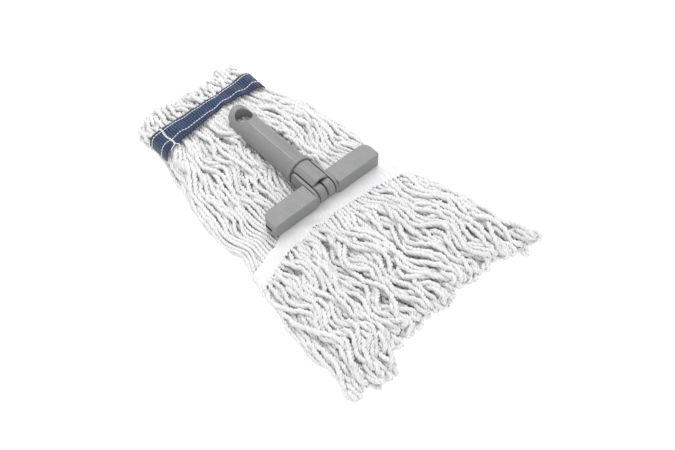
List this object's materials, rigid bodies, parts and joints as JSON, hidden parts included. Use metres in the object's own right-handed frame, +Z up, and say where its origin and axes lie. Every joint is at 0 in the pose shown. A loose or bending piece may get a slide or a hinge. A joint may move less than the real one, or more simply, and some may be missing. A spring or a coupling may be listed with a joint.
{
  "type": "string mop",
  "caption": "String mop head with a quick-connect holder: a tilting connector post with a hang hole on a cross bar, looped cotton strands under a headband, and a banded tail.",
  "frame": {"origin": "centre of the mop's footprint, on the surface it lies on", "axes": "+Z up; +X along the cross bar to the right; +Y towards the banded tail and the tip of the connector post; -Y towards the loose fringe"},
  "size_m": [0.252, 0.4, 0.0397],
  "materials": {
    "holder_plastic": "satin moulded grey",
    "steel": "plain zinc plated",
    "cotton_yarn": "bleached twisted cotton yarn",
    "headband_tape": "white brushed woven tape",
    "tail_tape": "navy ribbed woven tape with white stitching"
  },
  "bodies": {
    "holder": {"base_bar": "holder_plastic", "wing_cover_left": "holder_plastic", "wing_cover_right": "holder_plastic", "ear_left": "holder_plastic", "ear_right": "holder_plastic", "hinge_pin": "steel", "clamp_plate": "holder_plastic", "clamp_screw_1": "steel", "clamp_screw_2": "steel", "clamp_screw_3": "steel", "clamp_screw_4": "steel", "headband_bottom": "headband_tape", "headband_strands": "cotton_yarn", "headband_top": "headband_tape"},
    "post": {"connector_post": "holder_plastic", "neck": "holder_plastic", "knuckle_left": "holder_plastic", "knuckle_right": "holder_plastic"},
    "near_half": {"near_strands_1": "cotton_yarn", "near_strands_2": "cotton_yarn", "near_strands_3": "cotton_yarn", "near_strands_4": "cotton_yarn", "near_strands_5": "cotton_yarn", "near_strands_6": "cotton_yarn"},
    "far_half": {"far_strands_1": "cotton_yarn", "far_strands_2": "cotton_yarn", "far_strands_3": "cotton_yarn", "far_strands_4": "cotton_yarn", "far_strands_5": "cotton_yarn", "tail_strands": "cotton_yarn", "tail_band_bottom": "tail_tape", "tail_band_top": "tail_tape", "tail_loops_left": "cotton_yarn", "tail_loops_middle": "cotton_yarn", "tail_loops_right": "cotton_yarn"}
  },
  "joints": [
    {"name": "post_tilt", "type": "hinge", "parent": "holder", "child": "post", "pos_m": [0.004, -0.003, 0.0254], "axis": [1, 0, 0], "range_deg": [0, 150]},
    {"name": "near_half_fold", "type": "hinge", "parent": "holder", "child": "near_half", "pos_m": [0.004, -0.0265, 0.003], "axis": [1, 0, 0], "range_deg": [0, 85]},
    {"name": "far_half_fold", "type": "hinge", "parent": "holder", "child": "far_half", "pos_m": [0.004, 0.009, 0.003], "axis": [-1, 0, 0], "range_deg": [0, 85]}
  ]
}
